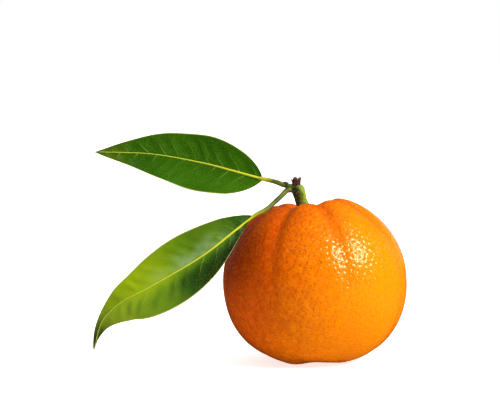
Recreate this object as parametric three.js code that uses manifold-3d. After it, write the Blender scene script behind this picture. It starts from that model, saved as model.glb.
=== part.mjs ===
// A fresh mandarin: one whole fruit with its calyx button, a short twig and two leaves.
// Millimetres and degrees, +Z up. The origin is on the spot that the fruit rests on, straight
// below its middle, and the leaves reach out along -X.
import * as THREE from "three";
import { mergeVertices } from "three/addons/utils/BufferGeometryUtils.js";
import Module from "manifold-3d";

const wasm = await Module();
wasm.setup();

// ---- Driving dimensions ----

// Space left between two pieces that touch on the real fruit.
const GAP = 0.35;

// The fruit is a flattened ball whose stem end leans towards the leaves.
const FRUIT = {
  equatorRadius: 31.75,
  upperHeight: 30.1,
  lowerHeight: 28.66,
  upperRoundness: 2.03,
  lowerRoundness: 2.26,
  lean: 6.56,
  centreHeight: 27.8,
};

// No fruit is quite even: where it is fuller, or hollower if the rise is negative. Each place has
// its middle's angle from the stem pole and bearing from the front, its spread and its rise.
const LOBES = [
  { polar: 148, bearing: 62, spread: 27, rise: 1.1 },
  { polar: 27, bearing: -4, spread: 15, rise: 0.75 },
  { polar: 27, bearing: 176, spread: 38, rise: -0.9 },
  { polar: 88, bearing: -78, spread: 40, rise: 0.45 },
  { polar: 24, bearing: 75, spread: 20, rise: 0.85 },
  { polar: 28, bearing: 158, spread: 20, rise: -0.9 },
  { polar: 156, bearing: -48, spread: 10, rise: 0.5 },
  { polar: 159, bearing: -17, spread: 9, rise: -2 },
  { polar: 52, bearing: -88, spread: 18, rise: 0.6 },
  { polar: 28, bearing: -140, spread: 18, rise: 0.7 },
];

// The dimple that the stem grows from.
const CAVITY = { depth: 7.6, radius: 6.6, steepness: 2.6 };

// Furrows between the segments: the bearing from the front, and how deep each runs above and
// below the widest circle as a share of the full depth.
const FURROW_DEPTH = 1.25;
const FURROW_RADIUS = 2.4;
const FURROWS = [
  { bearing: -29, above: 1.1, below: 0.35 },
  { bearing: 20, above: 1, below: 0.35 },
  { bearing: 68, above: 0.8, below: 0.9 },
  { bearing: 112, above: 0.8, below: 0.7 },
  { bearing: 153, above: 0.9, below: 0.8 },
  { bearing: 197, above: 0.8, below: 0.7 },
  { bearing: 240, above: 0.9, below: 0.8 },
  { bearing: 284, above: 0.9, below: 0.8 },
];

// The green button that joins the fruit to its twig.
const CALYX = { radius: 4.1, lobes: 5, lobeDepth: 0.16, middle: 1.1, rim: 0.5 };

// The twig: its centre line and thickness, and the leaf cushion on its side.
const STEM_LINE = [[-2.85, 0, 52.3], [-2.97, 0, 53.3], [-4.55, 0, 55.2], [-5.3, 0, 57.4], [-6.2, 0, 60.9]];
const STEM_RADII = [[0, 2.45], [0.25, 2.2], [0.9, 2.1], [1, 1.6]];
const CUSHION_LINE = [[-6, 0, 59.9], [-8.9, -0.1, 60.2]];
const CUSHION_RADII = [[0, 0.9], [0.7, 1.6], [1, 1.25]];

// The dry stub of a fallen flower stalk on top of the twig, with its ragged crown.
const STUB = { foot: [-6.6, 0, 61.7], radius: 1.3, crownRadius: 1.6, height: 1.4, tooth: 1.0, teeth: 5 };

// The bud above the upper leaf's joint.
const BUD = { centre: [-10.2, 0.3, 61.6], halfLength: 0.95, halfWidth: 0.75 };

// Leaf stalks.
const UPPER_PETIOLE_LINE = [[-11.6, 0, 61.5], [-12.9, 0.1, 62.1], [-15.8, 0.5, 62.9], [-17.9, 0.9, 63.3]];
const LOWER_PETIOLE_LINE = [
  [-10.1, -1.2, 59.5],
  [-12.3, -3.5, 57.4],
  [-16.3, -7.2, 54.1],
  [-18.2, -8.6, 53],
  [-20.9, -9.6, 51.8],
];
const PETIOLE_RADII = [[0, 0.72], [0.3, 0.58], [0.8, 0.6], [1, 0.62]];

// Leaf blades. Each side of the midrib is a skewed sine arch: half-width, where along the
// blade it is widest (skew) and how full it is. A tail draws the tip out, on one side only.
// faceUp is how far the blade's face turns up from level; dish lifts its margins if positive
// and rolls them back if negative, as a share of the half-width.
const BLADE_THICKNESS = 0.55;
const BLADE_END = 0.35;
const UPPER_LEAF = {
  midrib: [[-18.4, 1, 63.3], [-28.5, 3.2, 66], [-40.1, 5, 68.8], [-57.6, 6.2, 71.7], [-76.7, 4.5, 72.5]],
  above: { width: 9.9, skew: 0.7, fullness: 0.99, blade: 1, tail: 0, tailShape: 1 },
  below: { width: 11, skew: 0.67, fullness: 0.93, blade: 1, tail: 0, tailShape: 1 },
  faceUp: 20,
  dish: 0.15,
};
const LOWER_LEAF = {
  midrib: [
    [-21.3, -9.8, 51.5],
    [-28.4, -12.6, 46.2],
    [-39.7, -15.5, 37.8],
    [-56.7, -17, 27.9],
    [-66.7, -16, 22.4],
    [-73.4, -13, 15.3],
    [-76.5, -9, 5],
  ],
  above: { width: 11.2, skew: 0.86, fullness: 0.88, blade: 0.84, tail: 5.4, tailShape: 0.5 },
  below: { width: 10.5, skew: 1.04, fullness: 1.24, blade: 0.97, tail: 0.3, tailShape: 0.4 },
  faceUp: 15,
  dish: -0.25,
};

// ---- Shared geometry ----

const radians = THREE.MathUtils.degToRad;

// Where the fruit's own frame, with its centre at the origin and its stem pole up, stands.
const fruitFrame = new THREE.Matrix4()
  .makeRotationY(-radians(FRUIT.lean))
  .setPosition(0, 0, FRUIT.centreHeight);

function smoothLine(points) {
  const corners = points.map((point) => new THREE.Vector3(...point));
  return new THREE.CatmullRomCurve3(corners, false, "catmullrom", 0.5);
}

// Reads a list of [share of the way, value] pairs, in straight steps between them.
function between(pairs, share) {
  const next = Math.max(1, pairs.findIndex(([at]) => at >= share));
  const [from, to] = [pairs[next - 1], pairs[next]];
  return THREE.MathUtils.mapLinear(share, from[0], to[0], from[1], to[1]);
}

// Moves every vertex of a ready-made geometry, and drops what no longer describes it.
function reshape(geometry, move) {
  const position = geometry.attributes.position;
  const vertex = new THREE.Vector3();
  for (let i = 0; i < position.count; i++) {
    vertex.fromBufferAttribute(position, i);
    position.setXYZ(i, ...move(vertex));
  }
  geometry.deleteAttribute("normal");
  geometry.deleteAttribute("uv");
  const closed = mergeVertices(geometry, 1e-3);
  closed.computeVertexNormals();
  return closed;
}

// A round stalk along a smooth line, flat at both ends.
function stalk(line, radii, sides, steps) {
  const curve = smoothLine(line);
  const depthwise = new THREE.Vector3(0, -1, 0);
  return reshape(new THREE.CylinderGeometry(1, 1, 1, sides, steps), ({ x, y, z }) => {
    const share = y + 0.5;
    const along = curve.getTangentAt(share);
    const across = new THREE.Vector3().crossVectors(along, depthwise).normalize();
    const outward = new THREE.Vector3().crossVectors(across, along);
    const radius = between(radii, share);
    return curve
      .getPointAt(share)
      .addScaledVector(across, radius * x)
      .addScaledVector(outward, radius * z);
  });
}

// Joins two closed geometries into one.
function fuse(first, second) {
  const [a, b] = [first, second].map((geometry) => {
    const bare = new THREE.BufferGeometry()
      .setAttribute("position", geometry.attributes.position)
      .setIndex(geometry.index);
    const merged = mergeVertices(bare, 1e-3);
    const vertProperties = merged.attributes.position.array;
    const triVerts = new Uint32Array(merged.index.array);
    return new wasm.Manifold(new wasm.Mesh({ numProp: 3, vertProperties, triVerts }));
  });
  const { vertProperties, triVerts } = a.add(b).getMesh();
  const joined = new THREE.BufferGeometry()
    .setAttribute("position", new THREE.BufferAttribute(vertProperties, 3))
    .setIndex(new THREE.BufferAttribute(triVerts, 1));
  joined.computeVertexNormals();
  return joined;
}

function piece(name, geometry, color, roughness) {
  const material = new THREE.MeshStandardMaterial({ color, roughness, metalness: 0 });
  const mesh = new THREE.Mesh(geometry, material);
  mesh.name = name;
  return mesh;
}

// ---- Fruit ----

// How far the furrows sink the skin, as a share of their full depth, at an angle from the stem
// pole, a bearing from the front and a distance from the fruit's axis.
function furrowShare(polar, bearing, axisDistance) {
  const nearStem = 0.2 + 0.9 * Math.exp(-(((polar - 0.55) / 0.6) ** 2));
  const nearBase = 0.2 + 0.5 * Math.exp(-(((polar - 2.8) / 0.36) ** 2));
  const awayFromPoles = 1 - Math.exp(-((axisDistance / 4) ** 2));
  let share = 0;
  for (const furrow of FURROWS) {
    const turn = bearing - radians(furrow.bearing);
    const offset = Math.atan2(Math.sin(turn), Math.cos(turn));
    const aside = axisDistance * offset / FURROW_RADIUS;
    const crease = 0.7 * Math.exp(-(aside ** 2)) + 0.3 * Math.exp(-((aside / 2.6) ** 2));
    share += crease * (polar < Math.PI / 2 ? furrow.above * nearStem : furrow.below * nearBase);
  }
  return share * awayFromPoles;
}

function cavityDepth(axisDistance) {
  return CAVITY.depth * Math.exp(-((axisDistance / CAVITY.radius) ** CAVITY.steepness));
}

function lobeRise(direction) {
  let total = 0;
  for (const { polar, bearing, spread, rise } of LOBES) {
    const [tilt, turn] = [radians(polar), radians(bearing)];
    const flat = Math.sin(tilt);
    const middle = new THREE.Vector3(flat * Math.sin(turn), -flat * Math.cos(turn), Math.cos(tilt));
    total += rise * Math.exp(-((direction.angleTo(middle) / radians(spread)) ** 2));
  }
  return total;
}

// The skin in a direction from the fruit's centre, in the fruit's own frame.
function skinPoint(direction) {
  const flat = Math.hypot(direction.x, direction.y);
  const upper = direction.z > 0;
  const height = upper ? FRUIT.upperHeight : FRUIT.lowerHeight;
  const roundness = upper ? FRUIT.upperRoundness : FRUIT.lowerRoundness;
  const whole = (flat / FRUIT.equatorRadius) ** roundness + (Math.abs(direction.z) / height) ** roundness;
  const smooth = whole ** (-1 / roundness) + lobeRise(direction);
  const polar = Math.atan2(flat, direction.z);
  const bearing = Math.atan2(direction.x, -direction.y);
  const radius = smooth - FURROW_DEPTH * furrowShare(polar, bearing, flat * smooth);
  const point = direction.clone().multiplyScalar(radius);
  if (upper) point.z -= cavityDepth(flat * radius);
  return point;
}

// The skin is pressed flat where the fruit rests.
function fruit() {
  const ball = new THREE.SphereGeometry(1, 64, 40).rotateX(Math.PI / 2);
  const geometry = reshape(ball, (direction) => {
    const point = skinPoint(direction).applyMatrix4(fruitFrame);
    point.z = Math.max(point.z, 0);
    return point;
  });
  return piece("fruit", geometry, "#f98303", 0.35);
}

// The button lies in the bottom of the cavity and turns up with its wall.
function calyx() {
  const pole = FRUIT.upperHeight - CAVITY.depth;
  const disc = new THREE.CylinderGeometry(1, 1, 1, 40, 1).rotateX(Math.PI / 2);
  const geometry = reshape(disc, ({ x, y, z }) => {
    const share = Math.min(1, Math.hypot(x, y));
    const lobe = 1 - CALYX.lobeDepth * (0.5 - 0.5 * Math.cos(CALYX.lobes * Math.atan2(y, x)));
    const reach = CALYX.radius * lobe * share;
    const wall = cavityDepth(0) - cavityDepth(reach) - reach ** 2 / (2 * FRUIT.equatorRadius);
    const thickness = THREE.MathUtils.lerp(CALYX.middle, CALYX.rim, share);
    const level = pole + wall + GAP + (z > 0 ? thickness : 0);
    const turn = Math.atan2(y, x);
    return new THREE.Vector3(reach * Math.cos(turn), reach * Math.sin(turn), level).applyMatrix4(fruitFrame);
  });
  return piece("calyx", geometry, "#6f7a1e", 0.7);
}

// ---- Twig ----

function stem() {
  const geometry = fuse(stalk(STEM_LINE, STEM_RADII, 20, 14), stalk(CUSHION_LINE, CUSHION_RADII, 16, 6));
  return piece("stem", geometry, "#5f7312", 0.6);
}

// The crown of the stub flares and ends in teeth of uneven height.
function dryStub() {
  const rod = new THREE.CylinderGeometry(1, 1, 1, STUB.teeth * 4, 4).rotateX(Math.PI / 2);
  const geometry = reshape(rod, ({ x, y, z }) => {
    const share = z + 0.5;
    const turn = Math.atan2(y, x);
    const tooth = (0.5 + 0.5 * Math.cos(STUB.teeth * turn)) * (0.75 + 0.25 * Math.cos(turn + 2));
    const radius = THREE.MathUtils.lerp(STUB.radius, STUB.crownRadius, share ** 2);
    const rise = share * (STUB.height + STUB.tooth * tooth * Math.hypot(x, y));
    return [STUB.foot[0] + radius * x, STUB.foot[1] + radius * y, STUB.foot[2] + rise];
  });
  return piece("dry_stub", geometry, "#3d1a05", 0.85);
}

function axilBud() {
  const geometry = reshape(new THREE.SphereGeometry(1, 16, 10), ({ x, y, z }) => [
    BUD.centre[0] + BUD.halfLength * x,
    BUD.centre[1] + BUD.halfWidth * y,
    BUD.centre[2] + BUD.halfWidth * z,
  ]);
  return piece("axil_bud", geometry, "#2c2508", 0.75);
}

// ---- Leaves ----

function petiole(name, line) {
  return piece(name, stalk(line, PETIOLE_RADII, 12, 12), "#80861f", 0.5);
}

// Half-width of one side of a blade, by the share of the way from its base to its tip.
function halfWidth(side, share) {
  const inBlade = Math.min(share / side.blade, 1);
  const arch = side.width * Math.max(0, Math.sin(Math.PI * inBlade ** side.skew)) ** side.fullness;
  const tail = side.tail * (1 - share) ** side.tailShape * share;
  return Math.max(BLADE_END, Math.hypot(arch, tail));
}

// A thin closed sheet that follows the midrib. Its face looks to the front and a little up.
function leaf(name, shape, color) {
  const midrib = smoothLine(shape.midrib);
  const tilt = radians(shape.faceUp);
  const facing = new THREE.Vector3(0, -Math.cos(tilt), Math.sin(tilt));
  const geometry = reshape(new THREE.BoxGeometry(1, 2, 1, 26, 8, 1), ({ x, y, z }) => {
    const share = x + 0.5;
    const along = midrib.getTangentAt(share);
    const across = new THREE.Vector3().crossVectors(facing, along).normalize();
    const face = new THREE.Vector3().crossVectors(along, across);
    const width = halfWidth(y > 0 ? shape.below : shape.above, share);
    const lift = shape.dish * width * Math.abs(y) ** 1.8;
    return midrib
      .getPointAt(share)
      .addScaledVector(across, width * y)
      .addScaledVector(face, lift + BLADE_THICKNESS * z);
  });
  return piece(name, geometry, color, 0.4);
}

// ---- Assembly ----

const mandarin = new THREE.Group();
mandarin.name = "mandarin";

const twig = new THREE.Group();
twig.add(stem(), dryStub(), axilBud());

const foliage = new THREE.Group();
foliage.add(
  petiole("upper_petiole", UPPER_PETIOLE_LINE),
  leaf("upper_leaf", UPPER_LEAF, "#42680a"),
  petiole("lower_petiole", LOWER_PETIOLE_LINE),
  leaf("lower_leaf", LOWER_LEAF, "#5f840b"),
);

mandarin.add(fruit(), calyx(), twig, foliage);

export default mandarin;
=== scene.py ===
import math
import bpy
import numpy as np
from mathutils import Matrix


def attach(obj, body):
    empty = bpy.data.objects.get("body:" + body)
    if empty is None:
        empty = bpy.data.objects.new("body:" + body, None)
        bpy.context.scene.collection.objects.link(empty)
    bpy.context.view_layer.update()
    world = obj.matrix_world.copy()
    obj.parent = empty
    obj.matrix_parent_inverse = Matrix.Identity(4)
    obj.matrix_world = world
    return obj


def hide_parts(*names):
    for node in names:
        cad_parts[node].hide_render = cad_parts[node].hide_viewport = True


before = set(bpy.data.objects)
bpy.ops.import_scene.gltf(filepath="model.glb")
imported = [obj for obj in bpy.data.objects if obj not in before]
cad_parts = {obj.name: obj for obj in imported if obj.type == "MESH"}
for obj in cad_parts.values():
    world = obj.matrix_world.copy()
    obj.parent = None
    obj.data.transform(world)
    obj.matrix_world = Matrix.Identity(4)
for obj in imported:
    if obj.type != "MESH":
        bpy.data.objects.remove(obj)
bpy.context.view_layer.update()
MM = 0.001

# ---- Camera ----
# A long lens close to level with the fruit, which takes in the fruit and both leaves.

CAMERA_RISE = math.radians(5)
CAMERA_DISTANCE = 750
CAMERA_LENS = 155.6
CAMERA_AIM = (-22.7, 0, 56.1)

camera = bpy.data.objects.new("camera", bpy.data.cameras.new("camera"))
bpy.context.scene.collection.objects.link(camera)
camera.data.lens = CAMERA_LENS
camera.data.sensor_width = 36
camera.data.clip_start = 0.05
camera.location = (
    CAMERA_AIM[0] * MM,
    (CAMERA_AIM[1] - CAMERA_DISTANCE * math.cos(CAMERA_RISE)) * MM,
    (CAMERA_AIM[2] + CAMERA_DISTANCE * math.sin(CAMERA_RISE)) * MM,
)
camera.rotation_euler = (math.pi / 2 - CAMERA_RISE, 0, 0)
bpy.context.scene.camera = camera
bpy.context.scene.view_settings.view_transform = "Standard"

# ---- Floor ----
# A wide sheet of white board that throws soft light back up under the fruit.

FLOOR_REACH = 4000
FLOOR_WHITE, FLOOR_GRAIN = "#f4f3f1", "#f2f1ef"
FLOOR_GLOW = 0.72
FLOOR_BOUNCE = "#d2d2d2"
FLOOR_MIRRORED = "#1c1c1c"
BOUNCE_GLOW = 0.46


def colour(hex_code):
    """An sRGB hex colour as linear red, green, blue and alpha."""
    shares = [int(hex_code[i:i + 2], 16) / 255 for i in (1, 3, 5)]
    return [s / 12.92 if s <= 0.04045 else ((s + 0.055) / 1.055) ** 2.4 for s in shares] + [1]


def add(tree, kind, inputs=None, stops=None, **settings):
    """Adds a node, gives it its settings and colour stops, and fills or links its inputs."""
    made = tree.nodes.new(kind)
    for name, value in settings.items():
        setattr(made, name, value)
    for place, shade in stops or []:
        used = made.color_ramp.elements
        stop = used[0] if place == stops[0][0] else used[-1] if place == stops[-1][0] else used.new(place)
        stop.position = place
        stop.color = colour(shade)
    for socket, value in (inputs or {}).items():
        if isinstance(value, bpy.types.NodeSocket):
            tree.links.new(value, made.inputs[socket])
        else:
            made.inputs[socket].default_value = value
    return made


def reckon(tree, operation, *values, **settings):
    """Adds a node that works out one sum."""
    return add(tree, "ShaderNodeMath", dict(enumerate(values)), operation=operation, **settings)


def blend(tree, share, first, second):
    """Adds a node that turns the first colour into the second by a share."""
    return add(tree, "ShaderNodeMix", {"Factor": share, 6: first, 7: second}, data_type="RGBA")


def spread_over(tree, value, given, wanted=(0, 1), soft=False):
    """Adds a node that takes a value from one range to another, evenly or with soft ends."""
    ends = {"From Min": given[0], "From Max": given[1], "To Min": wanted[0], "To Max": wanted[1]}
    ends = {"Value": value, **ends}
    return add(tree, "ShaderNodeMapRange", ends, interpolation_type="SMOOTHSTEP" if soft else "LINEAR")


def noise(tree, scale, detail, place=None, roughness=0.5):
    """Adds a node of soft random clouds."""
    inputs = {"Scale": scale, "Detail": detail, "Roughness": roughness}
    return add(tree, "ShaderNodeTexNoise", inputs if place is None else {"Vector": place, **inputs})


def number_from(tree, label):
    """The number that the mesh stores under this label."""
    return add(tree, "ShaderNodeAttribute", attribute_name=label).outputs["Fac"]


def new_material(name):
    """An empty node material: its tree, its surface shader, and itself."""
    material = bpy.data.materials.new(name)
    material.use_nodes = True
    tree = material.node_tree
    tree.nodes.clear()
    surface = add(tree, "ShaderNodeBsdfPrincipled")
    add(tree, "ShaderNodeOutputMaterial", {"Surface": surface.outputs[0]})
    return material, tree, surface


def new_piece(name, points, faces, fields=None):
    """A smooth-shaded mesh object from points in millimetres, with a number stored per point."""
    mesh = bpy.data.meshes.new(name)
    mesh.from_pydata((np.asarray(points) * MM).tolist(), [], [list(map(int, face)) for face in faces])
    for label, values in (fields or {}).items():
        stored = mesh.attributes.new(label, "FLOAT", "POINT")
        stored.data.foreach_set("value", np.asarray(values, dtype=np.float32).ravel())
    mesh.polygons.foreach_set("use_smooth", [True] * len(mesh.polygons))
    piece = bpy.data.objects.new(name, mesh)
    bpy.context.scene.collection.objects.link(piece)
    return piece


board_material, tree, surface = new_material("matt white board")
grain = noise(tree, 40.0, 3.0)
tone = add(tree, "ShaderNodeValToRGB", {"Fac": grain.outputs[0]}, stops=[
    (0.3, FLOOR_GRAIN), (0.7, FLOOR_WHITE)])
tree.links.new(tone.outputs[0], surface.inputs["Base Color"])
surface.inputs["Roughness"].default_value = 0.9
surface.inputs["Specular IOR Level"].default_value = 0.1
surface.inputs["Emission Color"].default_value = colour("#ffffff")
surface.inputs["Emission Strength"].default_value = FLOOR_GLOW
ray = add(tree, "ShaderNodeLightPath").outputs
bounce = blend(tree, ray["Is Glossy Ray"], colour(FLOOR_BOUNCE), colour(FLOOR_MIRRORED))
bounced = add(tree, "ShaderNodeBsdfPrincipled", {
    "Base Color": bounce.outputs[2], "Roughness": 1.0, "Specular IOR Level": 0.0,
    "Emission Color": bounce.outputs[2], "Emission Strength": BOUNCE_GLOW})
both = add(tree, "ShaderNodeMixShader", {
    0: ray["Is Camera Ray"], 1: bounced.outputs[0], 2: surface.outputs[0]})
add(tree, "ShaderNodeOutputMaterial", {"Surface": both.outputs[0]}, is_active_output=True)

corners = [(-1, -1, 0), (1, -1, 0), (1, 1, 0), (-1, 1, 0)]
floor = new_piece("floor", np.array(corners) * FLOOR_REACH, [(0, 1, 2, 3)])
floor.data.materials.append(board_material)

# ---- Light ----
# One wide soft lamp on the right, a little in front. The white room is brightest behind on the
# right and dim on the left in front, and shiny surfaces mirror only two narrow parts behind.

KEY_FROM = (0.68, -0.38, 0.63)
KEY_STRENGTH = 3.95
KEY_WIDTH = math.radians(32)
ROOM_BRIGHT_SIDE = (0.45, 0.75, 0.45)
ROOM_DIM = 0.08
ROOM_BRIGHT = 0.85
MIRRORED_FROM = (0.30, 0.94, -0.15)
MIRRORED_BRIGHT = 0.9
MIRRORED_EDGE, MIRRORED_LEFT_EDGE = (0.92, 0.99), (0.90, 0.97)
MIRRORED_FROM_LEFT = (-0.30, 0.95, -0.08)
MIRRORED_LEFT_BRIGHT = 0.13
MIRRORED_ELSEWHERE = 0.02

key = bpy.data.objects.new("key_lamp", bpy.data.lights.new("key_lamp", "SUN"))
bpy.context.scene.collection.objects.link(key)
key.data.energy = KEY_STRENGTH
key.data.angle = KEY_WIDTH
key_turn = math.atan2(KEY_FROM[0], -KEY_FROM[1])
key.rotation_euler = (math.atan2(math.hypot(*KEY_FROM[:2]), KEY_FROM[2]), 0, key_turn)

room = bpy.data.worlds.new("white_room")
bpy.context.scene.world = room
room.use_nodes = True
tree = room.node_tree
tree.nodes.clear()
outward = add(tree, "ShaderNodeTexCoord").outputs["Generated"]
side = add(tree, "ShaderNodeVectorMath", {0: outward, 1: ROOM_BRIGHT_SIDE}, operation="DOT_PRODUCT")
light = spread_over(tree, side.outputs["Value"], (-0.7, 0.7), (ROOM_DIM, ROOM_BRIGHT), soft=True)
right = add(tree, "ShaderNodeVectorMath", {0: outward, 1: MIRRORED_FROM}, operation="DOT_PRODUCT")
mirrored = spread_over(
    tree, right.outputs["Value"], MIRRORED_EDGE, (MIRRORED_ELSEWHERE, MIRRORED_BRIGHT), soft=True)
left = add(tree, "ShaderNodeVectorMath", {0: outward, 1: MIRRORED_FROM_LEFT}, operation="DOT_PRODUCT")
mirrored_left = spread_over(
    tree, left.outputs["Value"], MIRRORED_LEFT_EDGE, (0.0, MIRRORED_LEFT_BRIGHT), soft=True)
all_mirrored = reckon(tree, "ADD", mirrored.outputs[0], mirrored_left.outputs[0])
ray = add(tree, "ShaderNodeLightPath").outputs
cast = add(tree, "ShaderNodeMix", {
    "Factor": ray["Is Glossy Ray"], "A": light.outputs[0], "B": all_mirrored.outputs[0]}, data_type="FLOAT")
strength = add(tree, "ShaderNodeMix", {
    "Factor": ray["Is Camera Ray"], "A": cast.outputs[0], "B": 1.0}, data_type="FLOAT")
shine = add(tree, "ShaderNodeBackground", {"Color": colour("#ffffff"), "Strength": strength.outputs[0]})
add(tree, "ShaderNodeOutputWorld", {"Surface": shine.outputs[0]})

# ---- Fruit ----
# A ripe mandarin: one flattened ball of juicy segments in a thin, waxy, oily peel. The peel
# sinks a little between the segments, and each of its oil glands shows as a small pit.

EQUATOR_RADIUS = 31.75
UPPER_HEIGHT, LOWER_HEIGHT = 30.1, 28.66
UPPER_ROUNDNESS, LOWER_ROUNDNESS = 2.03, 2.26
FRUIT_LEAN = math.radians(6.56)
CENTRE_HEIGHT = 27.8
CAVITY_DEPTH, CAVITY_RADIUS, CAVITY_STEEPNESS = 7.6, 6.6, 2.6
FURROW_DEPTH, FURROW_RADIUS = 1.25, 2.4
FURROWS = [
    (-29, 1.1, 0.35), (20, 1.0, 0.35), (68, 0.8, 0.9), (112, 0.8, 0.7),
    (153, 0.9, 0.8), (197, 0.8, 0.7), (240, 0.9, 0.8), (284, 0.9, 0.8),
]
LOBES = [
    (148, 62, 27, 1.1), (27, -4, 15, 0.75), (27, 176, 38, -0.9), (88, -78, 40, 0.45),
    (24, 75, 20, 0.85), (28, 158, 20, -0.9), (156, -48, 10, 0.5), (159, -17, 9, -2.0),
    (52, -88, 18, 0.6), (28, -140, 18, 0.7),
]
PEEL_CELLS = 127
# The middle of the lower leaf's painted shadow on the peel.
LEAF_SHADE_MIDDLE = (-28 * MM, -11 * MM, 39 * MM)
PIT_RELIEF = 0.17 * MM
PEEL_SIZES = {
    "Pore spacing": 1.75 * MM,
    "Pore radius": 0.98 * MM,
    "Pore depth": 0.09 * MM,
    "Dent height": 0.22 * MM,
    "Pucker height": 0.04 * MM,
}


def fruit_frame(points):
    """Turns points from the fruit's own upright frame to where it stands, leaning to its leaves."""
    x, y, z = np.moveaxis(points, -1, 0)
    across = x * math.cos(FRUIT_LEAN) - z * math.sin(FRUIT_LEAN)
    height = x * math.sin(FRUIT_LEAN) + z * math.cos(FRUIT_LEAN) + CENTRE_HEIGHT
    return np.stack([across, y, height], -1)


def cavity(axis_distance):
    return CAVITY_DEPTH * np.exp(-(axis_distance / CAVITY_RADIUS) ** CAVITY_STEEPNESS)


def skin(directions):
    """The peel in each direction from the fruit's centre, and how deep in a furrow it lies."""
    x, y, z = np.moveaxis(directions, -1, 0)
    flat = np.hypot(x, y)
    upper = z > 0
    height = np.where(upper, UPPER_HEIGHT, LOWER_HEIGHT)
    roundness = np.where(upper, UPPER_ROUNDNESS, LOWER_ROUNDNESS)
    smooth = ((flat / EQUATOR_RADIUS) ** roundness + (np.abs(z) / height) ** roundness) ** (-1 / roundness)
    for tilt, turn, spread, rise in LOBES:
        tilt, turn, spread = (math.radians(angle) for angle in (tilt, turn, spread))
        middle = np.array([
            math.sin(tilt) * math.sin(turn), -math.sin(tilt) * math.cos(turn), math.cos(tilt)])
        away = np.arccos(np.clip(directions @ middle, -1, 1)) / spread
        smooth = smooth + rise * np.exp(-away ** 2)
    polar = np.arctan2(flat, z)
    bearing = np.arctan2(x, -y)
    near_stem = 0.2 + 0.9 * np.exp(-((polar - 0.55) / 0.6) ** 2)
    near_base = 0.2 + 0.5 * np.exp(-((polar - 2.8) / 0.36) ** 2)
    furrow = np.zeros_like(flat)
    for turn, above, below in FURROWS:
        offset = (bearing - math.radians(turn) + math.pi) % (2 * math.pi) - math.pi
        aside = flat * smooth * offset / FURROW_RADIUS
        crease = 0.7 * np.exp(-aside ** 2) + 0.3 * np.exp(-(aside / 2.6) ** 2)
        furrow += crease * np.where(upper, above * near_stem, below * near_base)
    furrow *= 1 - np.exp(-(flat * smooth / 4) ** 2)
    radius = smooth - FURROW_DEPTH * furrow
    points = directions * radius[..., None]
    points[..., 2] -= np.where(upper, cavity(flat * radius), 0)
    return points, furrow


def round_cube(cells):
    """Directions spread evenly over a ball, as the six gridded sides of a cube blown round."""
    steps = np.tan(np.linspace(-1, 1, cells + 1) * math.pi / 4)
    a, b = np.meshgrid(steps, steps, indexing="ij")
    one = np.ones_like(a)
    sides = [(one, a, b), (-one, b, a), (b, one, a), (a, -one, b), (a, b, one), (b, a, -one)]
    points = np.concatenate([np.stack(side, -1).reshape(-1, 3) for side in sides])
    points /= np.linalg.norm(points, axis=1)[:, None]
    row = np.arange(cells)
    i, j = np.meshgrid(row, row, indexing="ij")
    first = (i * (cells + 1) + j).ravel()
    quads = np.stack([first, first + cells + 1, first + cells + 2, first + 1], -1)
    quads = np.concatenate([quads + k * (cells + 1) ** 2 for k in range(6)])
    _, keep, where = np.unique(np.round(points, 6), axis=0, return_index=True, return_inverse=True)
    return points[keep], where.ravel()[quads]


def new_recipe(name, sizes):
    """A Geometry Nodes tree with a named input for each size, and its input node."""
    recipe = bpy.data.node_groups.new(name, "GeometryNodeTree")
    recipe.interface.new_socket("Geometry", in_out="INPUT", socket_type="NodeSocketGeometry")
    for label in sizes:
        recipe.interface.new_socket(label, in_out="INPUT", socket_type="NodeSocketFloat")
    recipe.interface.new_socket("Geometry", in_out="OUTPUT", socket_type="NodeSocketGeometry")
    return recipe, add(recipe, "NodeGroupInput").outputs


def finish_recipe(recipe, geometry, material):
    """Ends a tree: its copies are made real, and it is given its material."""
    real = add(recipe, "GeometryNodeRealizeInstances", {0: geometry})
    painted = add(recipe, "GeometryNodeSetMaterial", {"Geometry": real.outputs[0], "Material": material})
    add(recipe, "NodeGroupOutput", {0: painted.outputs[0]})


def grow(piece, recipe, sizes):
    """Runs a Geometry Nodes tree on a piece, and keeps the outcome as its plain mesh."""
    modifier = piece.modifiers.new(recipe.name, "NODES")
    modifier.node_group = recipe
    for socket in recipe.interface.items_tree:
        if socket.in_out == "INPUT" and socket.name in sizes:
            modifier[socket.identifier] = sizes[socket.name]
    view_layer = bpy.context.view_layer
    view_layer.update()
    graph = bpy.context.evaluated_depsgraph_get()
    mesh = bpy.data.meshes.new_from_object(
        piece.evaluated_get(graph), preserve_all_data_layers=True, depsgraph=graph)
    piece.modifiers.clear()
    piece.data = mesh


# Citrus peel is a film of natural wax over coloured skin full of oil glands. It shines softly and darkens in
# each pit.
# Painted shade makes it darker and redder in the furrows, under the lower leaf and on the side away from the
# lamp.
peel_material, tree, surface = new_material("waxy mandarin peel")
place = add(tree, "ShaderNodeTexCoord").outputs["Object"]
gland = add(tree, "ShaderNodeAttribute", attribute_name="gland").outputs["Vector"]
vigour = number_from(tree, "vigour")
reach = add(tree, "ShaderNodeVectorMath", {0: place, 1: gland}, operation="DISTANCE")
inward = spread_over(tree, reach.outputs["Value"], (0, PEEL_SIZES["Pore radius"]), (1.0, 0.0))
hollow = reckon(tree, "POWER", inward.outputs[0], 2.0)
pore = reckon(tree, "MULTIPLY", hollow.outputs[0], vigour).outputs[0]
furrow = number_from(tree, "furrow")
# Painted light and shade: a share from the side away from the lamp (0) to the lit right side (1).
toward_painted_light = add(tree, "ShaderNodeVectorMath", {0: place, 1: (0.90, 0.0, -0.20)}, operation="DOT_PRODUCT")
painted_lit_side = spread_over(tree, toward_painted_light.outputs["Value"], (-33 * MM, 19 * MM))
patches = noise(tree, 95.0, 4.0, place, roughness=0.55)
ripeness = reckon(tree, "MULTIPLY_ADD", patches.outputs[0], 0.10, -0.05)
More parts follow.
